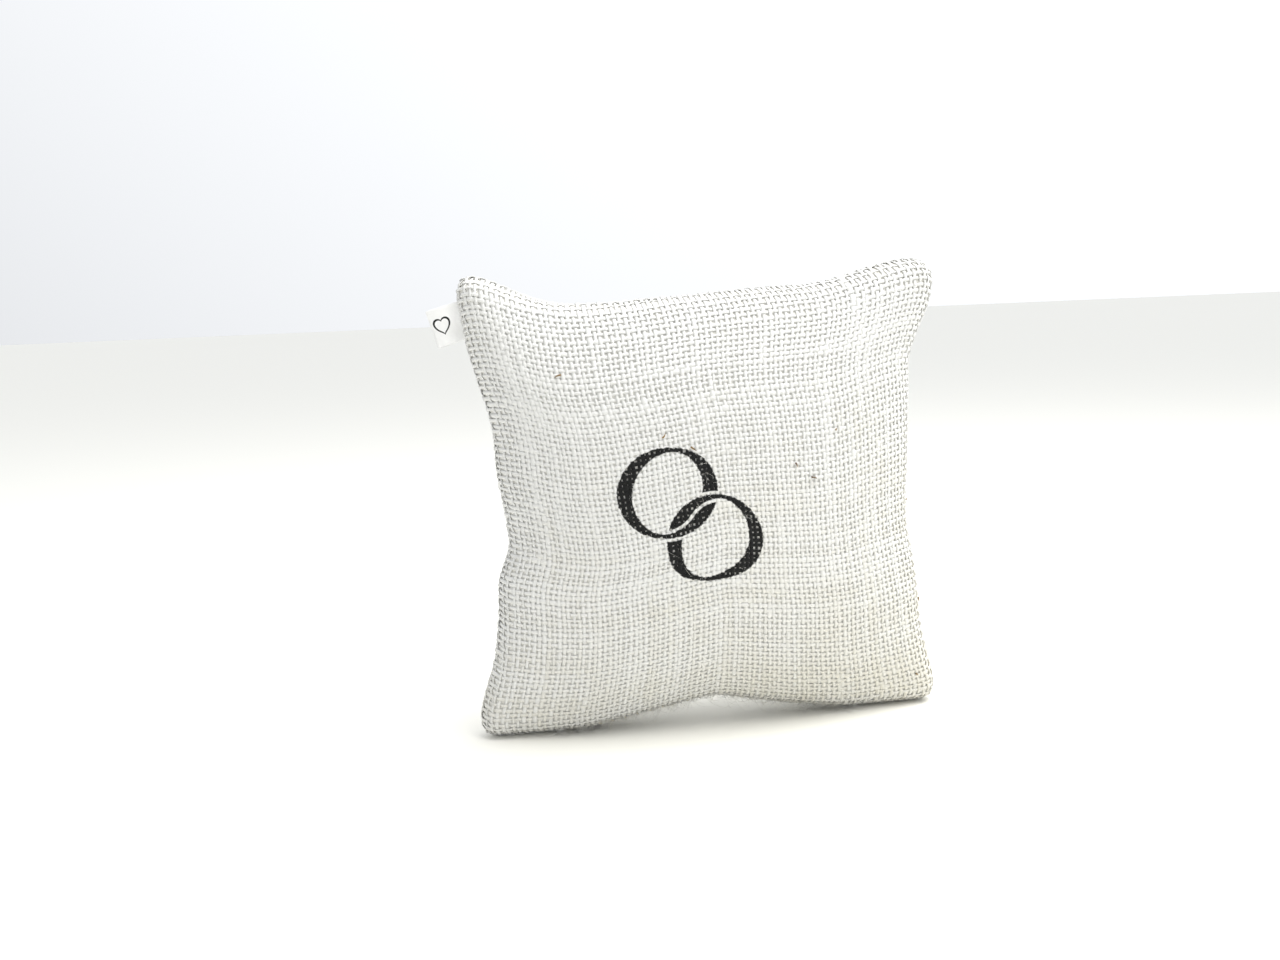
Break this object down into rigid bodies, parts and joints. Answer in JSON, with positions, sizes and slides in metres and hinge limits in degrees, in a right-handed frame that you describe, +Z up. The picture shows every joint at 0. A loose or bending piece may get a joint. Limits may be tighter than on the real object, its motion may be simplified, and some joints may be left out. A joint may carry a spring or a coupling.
{
  "type": "ring bearer pillow",
  "caption": "Square stuffed ring bearer pillow in off-white burlap, standing on its lower corners, with a folded side label.",
  "frame": {"origin": "middle of the bounding box, on the surface that the two lower corners stand on", "axes": "+X to the pillow's right as seen from its printed front, +Y from the front to the back, +Z up"},
  "size_m": [0.2106, 0.066, 0.1916],
  "materials": {
    "burlap": "matte",
    "calico": "matte",
    "polyester_fibre": "matte",
    "cotton_tape": "matte",
    "thread": "matte"
  },
  "bodies": {
    "pillow": {"front_panel": "burlap", "back_panel": "burlap", "cover_seam_thread": "thread", "closing_stitch_1": "thread", "closing_stitch_2": "thread", "closing_stitch_3": "thread", "closing_stitch_4": "thread", "closing_stitch_5": "thread", "closing_stitch_6": "thread", "closing_stitch_7": "thread", "closing_stitch_8": "thread", "closing_stitch_9": "thread", "case_front": "calico", "case_back": "calico", "case_seam_thread": "thread", "fibre_fill": "polyester_fibre", "label_root_front": "cotton_tape", "label_root_back": "cotton_tape"},
    "label": {"label_tab": "cotton_tape"}
  },
  "joints": [
    {"name": "label_flap", "type": "hinge", "parent": "pillow", "child": "label", "pos_m": [-0.09405, 0, 0.17248], "axis": [-0.2756, 0, 0.9613], "range_deg": [-80, 80]}
  ]
}
